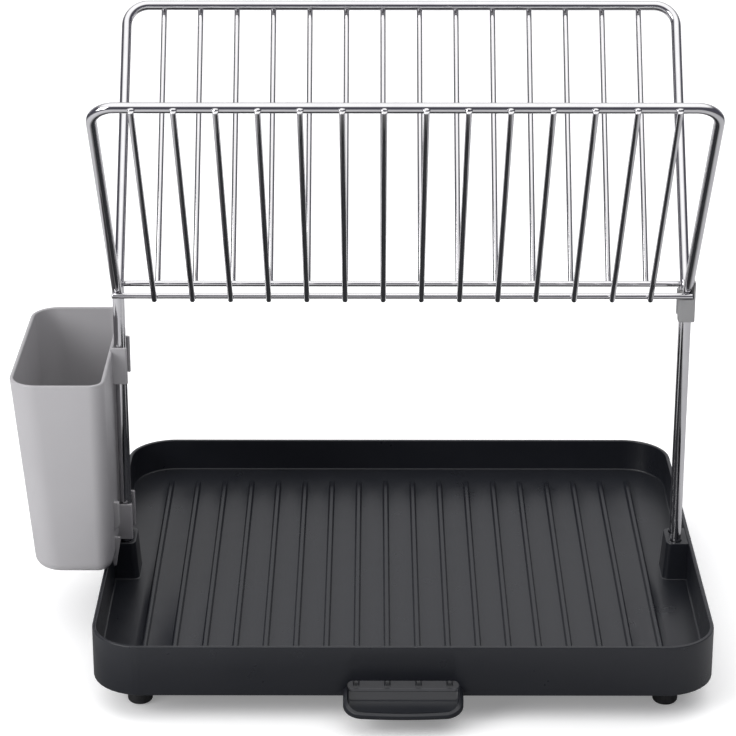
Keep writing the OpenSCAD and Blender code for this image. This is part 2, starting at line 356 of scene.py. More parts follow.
def rod(path, r, tail_round, head_round, sides=24):
    """A round rod along the path. tail_round is the edge's radius at its start, head_round at its end."""
    path = [Vector(p) for p in path]
    first = (path[1] - path[0]).normalized()
    last = (path[-1] - path[-2]).normalized()

    def curve(edge):
        """(run, radius) pairs of a round edge, from the end face inwards."""
        return [(edge * (1 - cos(t * pi / 2)), r - edge + edge * sin(t * pi / 2)) for t in steps(5)]

    tail = [(path[0] + first * run, radius) for run, radius in curve(tail_round)]
    head = [(path[-1] - last * run, radius) for run, radius in reversed(curve(head_round))]
    rings = tail + [(p, r) for p in path[1:-1]] + head
    return round_tube([p for p, _ in rings], [radius for _, radius in rings], sides)


def lathe(cx, cy, profile, sides=40):
    """A closed turned shape about an upright axis, from (radius, z) pairs."""
    return Shape().loft([[(cx + r * cos(2 * pi * k / sides), cy + r * sin(2 * pi * k / sides), z)
                          for k in range(sides)] for r, z in profile])


def weld_bead(at, across, along, out, sizes, seed):
    """A small lump of weld, uneven like the real ones. sizes are its half lengths."""
    bm = bmesh.new()
    bmesh.ops.create_icosphere(bm, subdivisions=3, radius=1)
    shape = Shape()
    for v in bm.verts:
        swell = 1 + 0.16 * noise.noise(v.co * 1.6 + Vector((seed, 0, 0)))
        x, y, z = (share * swell * size for share, size in zip(v.co, sizes))
        shape.points.append(tuple(at + across * x + along * y + out * z))
    shape.faces = [tuple(v.index for v in face.verts) for face in bm.faces]
    bm.free()
    return shape


def rounded_outline(corners, inset, count=5):
    """A closed outline of (x, y, radius) corners with each corner rounded, moved inwards by inset."""
    spots = [Vector(corner[:2]) for corner in corners]
    after = spots[1:] + spots[:1]
    side = 1 if sum(a.cross(b) for a, b in zip(spots, after)) > 0 else -1
    along = [(b - a).normalized() for a, b in zip(spots, after)]
    points = []
    for i, (x, y, r) in enumerate(corners):
        before, ahead = along[i - 1], along[i]
        inward = (before.orthogonal() + ahead.orthogonal()) * (side / (1 + before.dot(ahead)))
        convex = before.cross(ahead) * side > 0
        r = max(0.05, r - inset if convex else r + inset)
        at = Vector((x, y)) + inward * inset
        half = (-before).angle(ahead) / 2
        middle = at + (ahead - before).normalized() * (r / sin(half))
        start = at - before * (r / tan(half)) - middle
        end = at + ahead * (r / tan(half)) - middle
        turn = atan2(start.cross(end), start.dot(end))
        points += [tuple(middle + Matrix.Rotation(turn * t, 2) @ start) for t in steps(count)]
    return points


def soft_prism(corners, low, high, edge_r, place=lambda x, y, z: (x, y, z)):
    """A rounded outline carried from low to high with round edges at both ends."""
    rings = [(edge_r * (1 - sin(t * pi / 2)), low + edge_r * (1 - cos(t * pi / 2))) for t in steps(4)]
    rings += [(edge_r * (1 - cos(t * pi / 2)), high - edge_r * (1 - sin(t * pi / 2))) for t in steps(4)]
    return Shape().loft([[place(x, y, z) for x, y in rounded_outline(corners, inset)]
                         for inset, z in rings])


# ---------- materials ----------

class Nodes:
    """A material's node tree, with short calls for what the materials here share."""

    def __init__(self, name):
        self.material = bpy.data.materials.new(name)
        self.material.use_nodes = True
        self.tree = self.material.node_tree
        self.shader = self.tree.nodes["Principled BSDF"]
        self.coords = self.tree.nodes.new("ShaderNodeTexCoord").outputs["Object"]

    def set(self, **values):
        """Sets the shader's own sockets."""
        for name, value in values.items():
            self.shader.inputs[name.replace("_", " ")].default_value = value

    def noise(self, scale, detail):
        """Noise with this many spots to a metre, more or less."""
        made = self.tree.nodes.new("ShaderNodeTexNoise")
        made.inputs["Scale"].default_value = scale
        made.inputs["Detail"].default_value = detail
        self.tree.links.new(self.coords, made.inputs["Vector"])
        return made.outputs["Fac"]

    def between(self, value, low, high, start=0.3, end=0.7):
        """Low to high as the value goes from start to end."""
        made = self.tree.nodes.new("ShaderNodeMapRange")
        made.inputs["From Min"].default_value = start
        made.inputs["From Max"].default_value = end
        made.inputs["To Min"].default_value = low
        made.inputs["To Max"].default_value = high
        self.tree.links.new(value, made.inputs["Value"])
        return made.outputs["Result"]

    def ramp(self, value, stops):
        """Colours by position, from (position, colour) pairs."""
        made = self.tree.nodes.new("ShaderNodeValToRGB")
        elements = made.color_ramp.elements
        while len(elements) < len(stops):
            elements.new(0.5)
        for element, (position, colour) in zip(elements, stops):
            element.position = position
            element.color = (*colour, 1)
        self.tree.links.new(value, made.inputs["Fac"])
        return made.outputs["Color"]

    def colours(self, value, first, second):
        """The first colour to the second, over the middle of a noise's span."""
        return self.ramp(value, [(0.3, first), (0.7, second)])

    def bump(self, value, height, before=None):
        """Relief of this height in metres, on top of the relief before it."""
        made = self.tree.nodes.new("ShaderNodeBump")
        made.inputs["Distance"].default_value = height
        self.tree.links.new(value, made.inputs["Height"])
        if before is not None:
            self.tree.links.new(before, made.inputs["Normal"])
        return made.outputs["Normal"]

    def feed(self, socket, value):
        """Links a value to one of the shader's sockets."""
        self.tree.links.new(value, self.shader.inputs[socket])


def moulded_plastic(name, dark, light, rough, grain, ior=1.5):
    """Moulded plastic: a fine spark-eroded grain over a faint unevenness, satin to matt."""
    nodes = Nodes(name)
    nodes.feed("Base Color", nodes.colours(nodes.noise(9, 3), dark, light))
    nodes.feed("Roughness", nodes.between(nodes.noise(45, 4), rough - 0.03, rough + 0.04))
    wave = nodes.bump(nodes.noise(22, 1), 0.00018)
    nodes.feed("Normal", nodes.bump(nodes.noise(1500, 2), grain, wave))
    nodes.set(IOR=ior)
    return nodes.material


def chrome_plate():
    """Bright chrome over drawn rod: a mirror with faint draw marks and a breath of haze."""
    nodes = Nodes("chrome_plate")
    plate = nodes.colours(nodes.noise(60, 3), (0.545, 0.54, 0.555), (0.58, 0.575, 0.585))
    nodes.feed("Base Color", plate)
    nodes.feed("Roughness", nodes.between(nodes.noise(130, 4), 0.05, 0.13))
    nodes.feed("Normal", nodes.bump(nodes.noise(420, 2), 0.000008))
    nodes.set(Metallic=1.0)
    return nodes.material


def foot_rubber():
    """Soft black rubber with a dusty bloom."""
    nodes = Nodes("soft_rubber")
    bloom = nodes.colours(nodes.noise(180, 5), (0.010, 0.010, 0.011), (0.022, 0.022, 0.024))
    nodes.feed("Base Color", bloom)
    nodes.feed("Roughness", nodes.between(nodes.noise(240, 3), 0.62, 0.8))
    nodes.feed("Normal", nodes.bump(nodes.noise(1900, 3), 0.00006))
    return nodes.material


CHARCOAL = moulded_plastic("charcoal_moulding", (0.0095, 0.0105, 0.014), (0.0115, 0.0125, 0.016),
                           rough=0.30, grain=0.00003, ior=1.42)
GREY = moulded_plastic("grey_moulding", (0.332, 0.325, 0.336), (0.355, 0.348, 0.358),
                       rough=0.46, grain=0.00002)
CLIP_GREY = moulded_plastic("clip_moulding", (0.235, 0.235, 0.237), (0.26, 0.26, 0.262),
                            rough=0.5, grain=0.00002)
CHROME = chrome_plate()
RUBBER = foot_rubber()


# ---------- tray ----------

def floor_z(y):
    """Height of the tray's sloping floor."""
    inner = HALF_D - WALL_T
    return FLOOR_FRONT_Z + (y + inner) / (2 * inner) * (FLOOR_BACK_Z - FLOOR_FRONT_Z)


def rib_rise(x, y):
    """Height of the ribs above the floor: round shoulders, and ends that fade into the floor."""
    i = min(RIB_COUNT - 1, max(0, round(x / RIB_PITCH + (RIB_COUNT - 1) / 2)))
    off = abs(x - (i - (RIB_COUNT - 1) / 2) * RIB_PITCH)
    inner = HALF_D - WALL_T
    back = 1 - smooth_share(y, inner - RIB_BACK_GAP - RIB_BACK_FADE, inner - RIB_BACK_GAP)
    front = smooth_share(y, -inner + RIB_FRONT_GAP, -inner + RIB_FRONT_GAP + RIB_FRONT_FADE)
    return RIB_H * (1 - smooth_share(off, RIB_TOP, RIB_BASE)) * back * front


class Plate:
    """A floor with round corners, as columns of points that run from front to back."""

    def __init__(self, half_w, half_d, r, columns, rows):
        self.half_w, self.half_d, self.r = half_w, half_d, r
        arcs = [half_w - r + r * sin(t * pi / 2) for t in steps(10)]
        found = sorted(set(columns + arcs + [-x for x in arcs]))
        self.columns = [x for x, after in zip(found, found[1:] + [1e9]) if after - x > 0.04]
        self.rows = rows

    def edge_y(self, x):
        """How far the plate reaches in Y at this X."""
        past = abs(x) - (self.half_w - self.r)
        if past <= 0:
            return self.half_d
        return self.half_d - self.r + sqrt(max(0.0, self.r ** 2 - past ** 2))

    def spots(self):
        """The columns' (x, y) points."""
        return [[(x, row * self.edge_y(x)) for row in self.rows] for x in self.columns]

    def loop(self):
        """The edge as (column, row) pairs, once round."""
        last_c, last_r = len(self.columns) - 1, len(self.rows) - 1
        return ([(c, 0) for c in range(last_c)] + [(last_c, r) for r in range(last_r)]
                + [(c, last_r) for c in range(last_c, 0, -1)] + [(0, r) for r in range(last_r, 0, -1)])

    def outward(self, x, y):
        """The direction out of the plate at a point on its edge."""
        dx = max(0.0, abs(x) - (self.half_w - self.r)) * (1 if x > 0 else -1)
        dy = max(0.0, abs(y) - (self.half_d - self.r)) * (1 if y > 0 else -1)
        return Vector((dx, dy)).normalized()


def tray_section():
    """The wall's section from the floor, over the rim, to the underside: (outward, z, from_floor).

    Where from_floor is True, z counts from the sloping floor.
    """
    section = [(a, up, True) for a, up in quarter(BASE_FILLET, 3)[1:]]
    inside = BASE_FILLET
    outside = BASE_FILLET + WALL_T
    for a, up in reversed(quarter(RIM_ROUND)):
        section.append((inside + RIM_ROUND - a, RIM_Z - up, False))
    for a, up in quarter(RIM_ROUND):
        section.append((outside - RIM_ROUND + a, RIM_Z - up, False))
    for a, up in reversed(quarter(FOOT_ROUND)):
        section.append((outside - FOOT_ROUND + a, WALL_FOOT_Z + up, False))
    for a, up in quarter(0.5, 2):
        section.append((inside + 0.5 - a, WALL_FOOT_Z + up, False))
    section += [(a, -FLOOR_T - 0.6 + up, True) for a, up in [(inside, 0), (inside - 0.3, 0.4)]]
    return section


def tray_shell():
    """The tray as one closed surface: ribbed floor, walls, rim and underside."""
    half_rib = [0] + [RIB_TOP + (RIB_BASE - RIB_TOP) * t for t in steps(7)]
    ribs = [(i - (RIB_COUNT - 1) / 2) * RIB_PITCH for i in range(RIB_COUNT)]
    columns = [x + s * off for x in ribs for off in half_rib for s in (-1, 1)]
    inner_d = HALF_D - WALL_T - BASE_FILLET
    fade_end = HALF_D - WALL_T - RIB_BACK_GAP
    along = ([-inner_d + 9 * t for t in steps(9)] + [-100, -20, 60, 120]
             + [fade_end - RIB_BACK_FADE + RIB_BACK_FADE * t for t in steps(12)] + [inner_d])
    plate = Plate(HALF_W - WALL_T - BASE_FILLET, inner_d, CORNER_R - WALL_T - BASE_FILLET,
                  columns, [y / inner_d for y in along])
    shape = Shape()
    top = [shape.ring([(x, y, floor_z(y) + rib_rise(x, y)) for x, y in column])
           for column in plate.spots()]
    under = [shape.ring([(x, y, floor_z(y) - FLOOR_T) for x, y in column])
             for column in plate.spots()]
    for sheet in (top, under):
        for a, b in zip(sheet, sheet[1:]):
            shape.bridge(a, b, closed=False)
    loop = plate.loop()
    spots = plate.spots()
    rings = [[top[c][r] for c, r in loop]]
    for outward, height, from_floor in tray_section():
        points = []
        for c, r in loop:
            x, y = spots[c][r]
            n = plate.outward(x, y)
            points.append((x + n.x * outward, y + n.y * outward, height + floor_z(y) * from_floor))
        rings.append(shape.ring(points))
    rings.append([under[c][r] for c, r in loop])
    for a, b in zip(rings, rings[1:]):
        shape.bridge(a, b)
    return shape


def socket_block(side):
    """The tapered block that holds a pair of legs, from inside the wall to its round inner face."""
    def ring(spread, z_of):
        """spread is 0 at the top and 1 at the foot."""
        into = SOCKET_IN_TOP + (SOCKET_IN_FOOT - SOCKET_IN_TOP) * spread
        half = SOCKET_HALF_TOP + (SOCKET_HALF_FOOT - SOCKET_HALF_TOP) * spread
        outer = HALF_W - SOCKET_ROOT
        flat = rounded_ring(HALF_W - into, outer, -half, half, SOCKET_CORNER_R, 0.3, 0)
        return [(side * x, y, z_of(y)) for x, y, _ in flat]

    rings = [ring(1.45, lambda y: floor_z(y) - FLOOR_T / 2), ring(1.45, lambda y: floor_z(y) + 0.02),
             ring(1.12, lambda y: floor_z(y) + 0.3), ring(1.0, lambda y: floor_z(y) + 1.0)]
    edge_z = SOCKET_TOP - SOCKET_EDGE
    for share in steps(3)[1:]:
        rings.append(ring(1 - share, lambda y, s=share: floor_z(y) + (edge_z - floor_z(y)) * s))
    for a, up in reversed(quarter(SOCKET_EDGE)[:-1]):
        inwards = (SOCKET_EDGE - a) / (SOCKET_IN_FOOT - SOCKET_IN_TOP)
        rings.append(ring(-inwards, lambda y, u=up: SOCKET_TOP - u))
    return Shape().loft(rings)


def leg_bore(side, end):
    """What is drilled out of a socket for one leg, with a small countersink."""
    wide = BORE_R + BORE_SINK
    profile = [(BORE_R, LEG_FOOT_Z - 0.3), (BORE_R, SOCKET_TOP - BORE_SINK_DEPTH),
               (wide, SOCKET_TOP + 0.05), (wide, SOCKET_TOP + 5)]
    return lathe(side * LEG_X, end * LEG_Y, profile)


def slot_cutter():
    """The drain slot, flared a little at both faces of the wall."""
    faces = [-HALF_D - 1, -HALF_D - 0.01, -HALF_D + 0.25, -HALF_D + 0.7, -HALF_D + WALL_T - 0.6,
             -HALF_D + WALL_T + 0.01, -HALF_D + WALL_T + 1.2]
    flare = [0.75, 0.7, 0.25, 0, 0, 0.5, 0.5]
    rings = []
    for y, f in zip(faces, flare):
        r = SLOT_H / 2
        flat = rounded_ring(-SLOT_W / 2 - f, SLOT_W / 2 + f, -r, r + f, r - 0.01, r - 0.01, 0)
        rings.append([(x, y, SLOT_Z + z) for x, z, _ in flat])
    return Shape().loft(rings)


def foot_boss(sx, sy):
    """The boss under the floor that a foot is pressed into."""
    x, y = FEET_X * sx, FEET_Y * sy
    profile = [(BOSS_R - BOSS_EDGE, WALL_FOOT_Z), (BOSS_R, WALL_FOOT_Z + BOSS_EDGE),
               (BOSS_R, floor_z(y) - FLOOR_T / 2)]
    return lathe(x, y, profile)


def build_tray():
    """The tray's moulding, with its sockets and bosses joined on and its holes cut out."""
    tray = as_object("tray_moulding", [tray_shell()])
    bosses = [foot_boss(sx, sy) for sx in (-1, 1) for sy in (-1, 1)]
    combine(tray, [socket_block(-1), socket_block(1)] + bosses, "UNION")
    bores = [leg_bore(side, end) for side in (-1, 1) for end in (-1, 1)]
    combine(tray, bores + [slot_cutter()], "DIFFERENCE")
    piece(tray, CHARCOAL, "base", "charcoal_plastic", "tray")


def foot_profile():
    """A foot's (radius, z) outline: a small hollow, a wide round edge and a groove near the top."""
    edge = [(FOOT_R - FOOT_EDGE + FOOT_EDGE * sin(t * pi / 2), FOOT_EDGE * (1 - cos(t * pi / 2)))
            for t in steps(6)]
    groove_r = FOOT_R - FOOT_GROOVE
    groove = [(FOOT_R, FOOT_GROOVE_Z - FOOT_GROOVE), (groove_r, FOOT_GROOVE_Z),
              (groove_r, FOOT_GROOVE_Z + 2 * FOOT_GROOVE), (FOOT_R, FOOT_GROOVE_Z + 3 * FOOT_GROOVE)]
    return [(FOOT_HOLLOW_R, 0.0), (FOOT_PAD_R, 0.0)] + edge + groove + [(FOOT_R, FOOT_HIGH.z)]


def build_feet():
    """Four rubber feet, each pressed into its boss."""
    for across, sx in (("left", -1), ("right", 1)):
        for along, sy in (("front", -1), ("back", 1)):
            node = f"foot_{along}_{across}"
            foot = as_object(f"{node}_rubber", [lathe(sx * FEET_X, sy * FEET_Y, foot_profile())])
            piece(foot, RUBBER, "base", "foot_rubber", node)


# ---------- spout ----------

def spout_front(x, inset):
    """The Y of the spout's front outline, bowed at the lip with round corners."""
    half = SPOUT_HALF - inset
    r = SPOUT_CORNER - inset
    bow = SPOUT_BOW * (x / SPOUT_HALF) ** 2
    past = abs(x) - (half - r)
    corner = 0 if past <= 0 else r - sqrt(max(0.0, r * r - past * past))
    return SPOUT_LIP_Y + inset + bow + corner


def spout_top(y):
    """Height of the spout's walls: level at the tray, then falling to the lip."""
    return SPOUT_SIDE_TOP - SPOUT_SIDE_FALL * smooth_share(y, -HALF_D - 1.5, SPOUT_LIP_Y - 4)


def spout_under(y):
    """Height of the spout's underside, which falls to the lip."""
    return SPOUT_UNDER_Z - SPOUT_UNDER_FALL * min(1.0, max(0.0, (-HALF_D - y) / (-HALF_D - SPOUT_LIP_Y)))


def spout_bed(y):
    """Height of the spout's bed: a short steep ramp below the slot, then a gentle one to the lip."""
    ramp = sin(min(1.0, max(0.0, (-HALF_D + 0.2 - y) / SPOUT_RAMP_LEN)) * pi / 2)
    gentle = min(1.0, max(0.0, (-HALF_D - 3 - y) / (-HALF_D - 3 - SPOUT_LIP_Y)))
    return SLOT_Z - SLOT_H / 2 - 0.03 - SPOUT_RAMP_FALL * ramp - SPOUT_BED_FALL * gentle


def spout_outline(inset, count=14):
    """Points of the U-shaped outline, from the left root round the lip to the right root."""
    half = SPOUT_HALF - inset
    r = SPOUT_CORNER - inset
    front = [(half - r) * t for t in steps(10)]
    xs = front + [half - r + r * sin(t * pi / 2) for t in steps(count)[1:]]
    right = [(x, spout_front(x, inset)) for x in xs]
    corner_y = right[-1][1]
    right += [(half, corner_y + (SPOUT_ROOT_Y - corner_y) * t) for t in steps(16)[1:]]
    left = [(-x, y) for x, y in reversed(right[1:])]
    return left + right


def spout_shell():
    """The spout as one scoop, open only at its root, which lies inside the tray's wall."""
    section = [(SPOUT_BASE_R - a, "under", up) for a, up in quarter(SPOUT_BASE_R)]
    section += [(SPOUT_OUTER_R - a, "top", -up) for a, up in reversed(quarter(SPOUT_OUTER_R, 3))]
    section += [(SPOUT_WALL - SPOUT_INNER_R + a, "top", -up) for a, up in quarter(SPOUT_INNER_R, 3)[1:]]
    section += [(SPOUT_WALL + SPOUT_FILLET - a, "bed", up)
                for a, up in reversed(quarter(SPOUT_FILLET, 6))]

    def height(level, inset, y):
        if level == "under":
            return spout_under(y)
        if level == "bed":
            return spout_bed(y)
        slant = SPOUT_SLANT * smooth_share(y, SPOUT_LIP_Y + 3, SPOUT_LIP_Y + 12)
        return spout_top(y) - slant * (SPOUT_WALL - inset)

    shape = Shape()
    rings = [shape.ring([(x, y, height(level, inset, y) + up) for x, y in spout_outline(inset)])
             for inset, level, up in section]
    for a, b in zip(rings, rings[1:]):
        shape.bridge(a, b, closed=False)
    close_u(shape, rings[0], spout_under)
    close_u(shape, rings[-1], spout_bed)
    return shape


def close_u(shape, edge, height):
    """Fills a U-shaped edge with strips that run across from its left half to its right half."""
    count = len(edge)
    rows = []
    for i in range(count // 2 + 1):
        a, b = edge[i], edge[count - 1 - i]
        if a == b:
            rows.append([a])
            continue
        ax, ay, _ = shape.points[a]
        bx = shape.points[b][0]
        middle = shape.ring([(ax + (bx - ax) * t, ay, height(ay)) for t in steps(8)[1:-1]])
        rows.append([a] + middle + [b])
    for a, b in zip(rows, rows[1:]):
        if len(b) == 1:
            shape.faces += [(a[k], a[k + 1], b[0]) for k in range(len(a) - 1)]
        else:
            shape.bridge(a, b, closed=False)


def close_holes(made):
    """Fills the flat hole that an open end leaves."""
    bm = bmesh.new()
    bm.from_mesh(made.data)
    bmesh.ops.holes_fill(bm, edges=[e for e in bm.edges if len(e.link_faces) == 1], sides=0)
    bm.to_mesh(made.data)
    bm.free()
    tidy_mesh(made.data)


def build_spout():
    """The scoop in front of the drain slot."""
    spout = as_object("spout_moulding", [spout_shell()])
    close_holes(spout)
    piece(spout, CHARCOAL, "base", "charcoal_plastic", "drain_spout")


# ---------- chrome frame ----------

RIGHT = Vector((1, 0, 0))
UP = Vector((0, 0, 1))
WIRE_UP = Vector((0, HOOP_Y - BAR_Y, HOOP_Z - BAR_Z)).normalized()


def build_hoop(name, side):
    """One bent rod: up a leg, out along its arm, across the top and back down."""
    corners = [(-LEG_X, side * LEG_Y, LEG_FOOT_Z), (-LEG_X, side * LEG_Y, SPLIT_Z),
               (-LEG_X, side * HOOP_Y, HOOP_Z), (LEG_X, side * HOOP_Y, HOOP_Z),
               (LEG_X, side * LEG_Y, SPLIT_Z), (LEG_X, side * LEG_Y, LEG_FOOT_Z)]
    path = bent_path(corners, [SPLIT_BEND, CORNER_BEND, CORNER_BEND, SPLIT_BEND])
    hoop = as_object(f"{name}_rod", [rod(path, ROD_R, 0.8, 0.8, 32)])
    piece(hoop, CHROME, "rack", "chrome_rod", name)


def build_bar(name, side):
    """The thin cross rod at the foot of the wires, with two beads of weld at each leg."""
    y = side * BAR_Y
    shapes = [rod([(-BAR_HALF, y, BAR_Z), (BAR_HALF, y, BAR_Z)], BAR_R, 1.0, 1.0)]
    for s in (-1, 1):
        for up in (-BAR_WELD_UP, BAR_WELD_UP):
            at = Vector((s * (LEG_X + BAR_WELD_OUT), side * (LEG_Y + ROD_R), BAR_Z + up))
            shapes.append(weld_bead(at, RIGHT, UP, Vector((0, side, 0)), BAR_WELD, s * 3 + up + side))
    bar = as_object(f"{name}_rod", shapes)
    piece(bar, CHROME, "rack", "chrome_rod", name)


def build_wire(name, side, x):
    """One plate wire, from just below its bar to just past its hoop, with its two welds."""
    up = Vector((0, side * WIRE_UP.y, WIRE_UP.z))
    out = Vector((0, side * WIRE_UP.z, -WIRE_UP.y))
    bar_at = Vector((x, side * BAR_Y, BAR_Z))
    hoop_at = Vector((x, side * HOOP_Y, HOOP_Z))
    foot = bar_at + out * (BAR_R + WIRE_R - WELD_BITE) - up * WIRE_TAIL
    head = hoop_at + out * (ROD_R + WIRE_R - WELD_BITE) + up * WIRE_HEAD
    head_weld = hoop_at + out * (ROD_R + WELD_BITE) + up * HEAD_WELD_UP
    shapes = [rod([foot, head], WIRE_R, 1.2, 0.45),
              weld_bead(head_weld, RIGHT, up, out, HEAD_WELD, x),
              weld_bead(bar_at + out * BAR_R, RIGHT, up, out, TAIL_WELD, x + 7)]
    wire = as_object(f"{name}_rod", shapes)
    piece(wire, CHROME, "rack", "chrome_rod", name)


def build_link():
    """The short rod that joins the two left legs under the bars."""
    low, high = node_box("frame_link")
    x, z = (low.x + high.x) / 2, (low.z + high.z) / 2
    shapes = [rod([(x, low.y, z), (x, high.y, z)], (high.z - low.z) / 2, 0.3, 0.3)]
    for s in (-1, 1):
        shapes.append(weld_bead(Vector((x, s * high.y, z)), RIGHT, UP, Vector((0, s, 0)), LINK_WELD, s))
    link = as_object("frame_link_rod", shapes)
    piece(link, CHROME, "rack", "chrome_rod", "frame_link")


def build_frame():
    """The wire rack: two hoops, two bars, the plate wires between them and the link."""
    pitch = 2 * LEG_X / (WIRE_COUNT + 1)
    for name, side in (("front", -1), ("back", 1)):
        build_hoop(f"{name}_hoop", side)
        build_bar(f"{name}_bar", side)
        for i in range(1, WIRE_COUNT + 1):
            build_wire(f"{name}_wire_{i:02d}", side, (i - (WIRE_COUNT + 1) / 2) * pitch)
    build_link()


# ---------- clip ----------

def clip_bore(end):
    """What is cut out of the clip for one leg, flared at both ends."""
    profile = [(CLIP_BORE_R + 0.8, CLIP_LOW.z - 1), (CLIP_BORE_R + 0.6, CLIP_LOW.z),
               (CLIP_BORE_R, CLIP_LOW.z + 0.8), (CLIP_BORE_R, CLIP_TOP - 0.5),
               (CLIP_BORE_R + 0.4, CLIP_TOP + 1)]
    return lathe(LEG_X, end * LEG_Y, profile)


def build_clip():
    """The grey clip: a block round both right legs, a cheek outside the bars and a tab inside them."""
    low, high = CLIP_LOW, CLIP_HIGH
    back_x = low.x + CLIP_LIP
    tab_x = low.x + CLIP_TAB_T
    block = [(low.x, low.y, 1.6), (high.x, low.y, CLIP_EDGE), (high.x, high.y, CLIP_EDGE),
             (back_x, high.y, 1.6), (back_x, CLIP_STEP_BACK_Y, 0.8), (low.x, CLIP_STEP_FRONT_Y, CLIP_EDGE)]
    cheek = [(CLIP_CHEEK_IN, low.y, CLIP_CHEEK_EDGE), (high.x, low.y, 0.7),
             (high.x, high.y, 0.7), (CLIP_CHEEK_IN, high.y, CLIP_CHEEK_EDGE)]
    tab = [(low.x, -CLIP_TAB_HALF, 0.8), (tab_x, -CLIP_TAB_HALF, 0.8),
           (tab_x, CLIP_TAB_HALF, 0.8), (low.x, CLIP_TAB_HALF, 0.8)]
    clip = as_object("clip_moulding", [soft_prism(block, low.z, CLIP_TOP, CLIP_EDGE)])
    combine(clip, [soft_prism(cheek, low.z + 4, high.z, CLIP_CHEEK_EDGE),
                   soft_prism(tab, low.z + 2, CLIP_TOP + 3.5, CLIP_TAB_EDGE)], "UNION")
    combine(clip, [clip_bore(-1), clip_bore(1)], "DIFFERENCE")
    piece(clip, CLIP_GREY, "clip", "clip_plastic", "frame_clip")


# ---------- cutlery holder ----------

def holder_ring(inset, z):
    """The holder's outline at a height, smaller by inset all round."""
    rise = min(1.0, max(0.0, (z - HOLDER_TAPER_Z) / (HOLDER_TOP - HOLDER_TAPER_Z)))
    out = HOLDER_OUT - HOLDER_SIDE_TAPER * (1 - rise) - inset
    half = HOLDER_HALF - HOLDER_END_TAPER * (1 - rise) - inset
    return rounded_ring(-out, -HOLDER_IN - inset, -half, half,
                        max(1.5, HOLDER_OUT_R - inset), max(1.2, HOLDER_IN_R - inset), z, arc=12)


def holder_shell():
    """The box as one closed surface, from the middle of its underside to that of its bed."""
    rings = [holder_ring(inset, HOLDER_FLOOR_Z) for inset in (26, 19, 13)]
    for a, up in quarter(HOLDER_BASE_R, 7):
        rings.append(holder_ring(HOLDER_BASE_R - a, HOLDER_FLOOR_Z + up))
    rings += [holder_ring(0, z) for z in HOLDER_LEVELS]
    for a, up in reversed(quarter(HOLDER_RIM_R)):
        rings.append(holder_ring(HOLDER_RIM_R - a, HOLDER_TOP - up))
    for a, up in quarter(HOLDER_RIM_R):
        rings.append(holder_ring(HOLDER_T - HOLDER_RIM_R + a, HOLDER_TOP - up))
    rings += [holder_ring(HOLDER_T, z) for z in reversed(HOLDER_LEVELS)]
    bed = HOLDER_FLOOR_Z + HOLDER_T
    for a, up in reversed(quarter(HOLDER_BED_R, 6)):
        rings.append(holder_ring(HOLDER_T + HOLDER_BED_R - a, bed + up))
    rings += [holder_ring(inset, bed) for inset in (15, 20, 26)]
    return Shape().loft(rings)


def hook_tongue(side, low):
    """A tongue that passes a leg and turns in behind it."""
    inner = LEG_Y + ROD_R + HOOK_GAP
    outer = inner + HOOK_T
    barb = inner - HOOK_BARB
    root = -HOLDER_IN - 1.5
    corners = [(root, inner, 0.8), (HOOK_TIP_X - 3.0, inner, 0.8), (HOOK_TIP_X - 2.2, barb, 0.8),
               (HOOK_TIP_X - 0.4, barb, 0.8), (HOOK_TIP_X, outer, 2.0), (root, outer, 0.8)]
    return soft_prism([(x, side * y, r) for x, y, r in corners], low, low + HOOK_H, HOOK_EDGE)


def guide(side, near, far, corners, edge_r):
    """An outline of (x, z, radius) corners carried along Y from one distance to another."""
    low, high = sorted((side * near, side * far))
    return soft_prism(corners, low, high, edge_r, lambda x, z, y: (x, y, z))


def hook_guides(side):
    """A pad that steadies the holder, and a fin that drops inside the tray's wall."""
    root_x = -HOLDER_IN - 0.8
    pad = [(root_x, PAD_LOW_Z, 0.7), (root_x, PAD_HIGH_Z, 0.7),
           (GUIDE_X, PAD_HIGH_Z, 1.2), (GUIDE_X, PAD_LOW_Z + PAD_CUT, 1.2)]
    fin = [(root_x, FIN_HIGH_Z, 0.6), (GUIDE_X, FIN_HIGH_Z, 0.7), (GUIDE_X, FIN_HIGH_Z - 4, 1.2),
           (GUIDE_X - 3.6, FIN_LOW_Z, 0.7), (FIN_X + 0.8, FIN_LOW_Z, 0.7),
           (FIN_X, HOLDER_FLOOR_Z + 1.6, 0.7), (root_x, HOLDER_FLOOR_Z + 6.6, 0.7)]
    return [guide(side, GUIDE_OUT_Y - PAD_T, GUIDE_OUT_Y, pad, 0.7),
            guide(side, GUIDE_OUT_Y - FIN_T, GUIDE_OUT_Y, fin, 0.5)]


def build_holder():
    """The cutlery holder with its four hook tongues, pads and fins, as one moulding."""
    holder = as_object("holder_moulding", [holder_shell()])
    tongues = [hook_tongue(side, low) for side in (-1, 1) for low in (HOOK_TOP_Z - HOOK_H, HOOK_FLOOR_Z)]
    combine(holder, tongues + hook_guides(-1) + hook_guides(1), "UNION")
    piece(holder, GREY, "holder", "grey_plastic", "cutlery_holder")


# ---------- floor, lights, camera: in metres and degrees ----------

STUDIO_SIDES = (0.115, 0.112, 0.14)
STUDIO_BACK = (0.6, 0.6, 0.62)
STUDIO_TOP = (1.75, 1.75, 1.75)

KEY_AT = Vector((-1.45, -1.15, 1.05))
KEY_AIM = Vector((0, 0, 0.15))
KEY_SIZE = (1.2, 1.0)
KEY_WATTS = 24.0

FLOOR_REACH = 14.0
FLOOR_WHITE = (0.9, 0.9, 0.9)
FLOOR_GLOW = 0.235
SHADE_GREY = (0.2, 0.2, 0.2)
NEAR_GREY = (0.6, 0.6, 0.61)
FAR_GREY = (0.06, 0.058, 0.075)

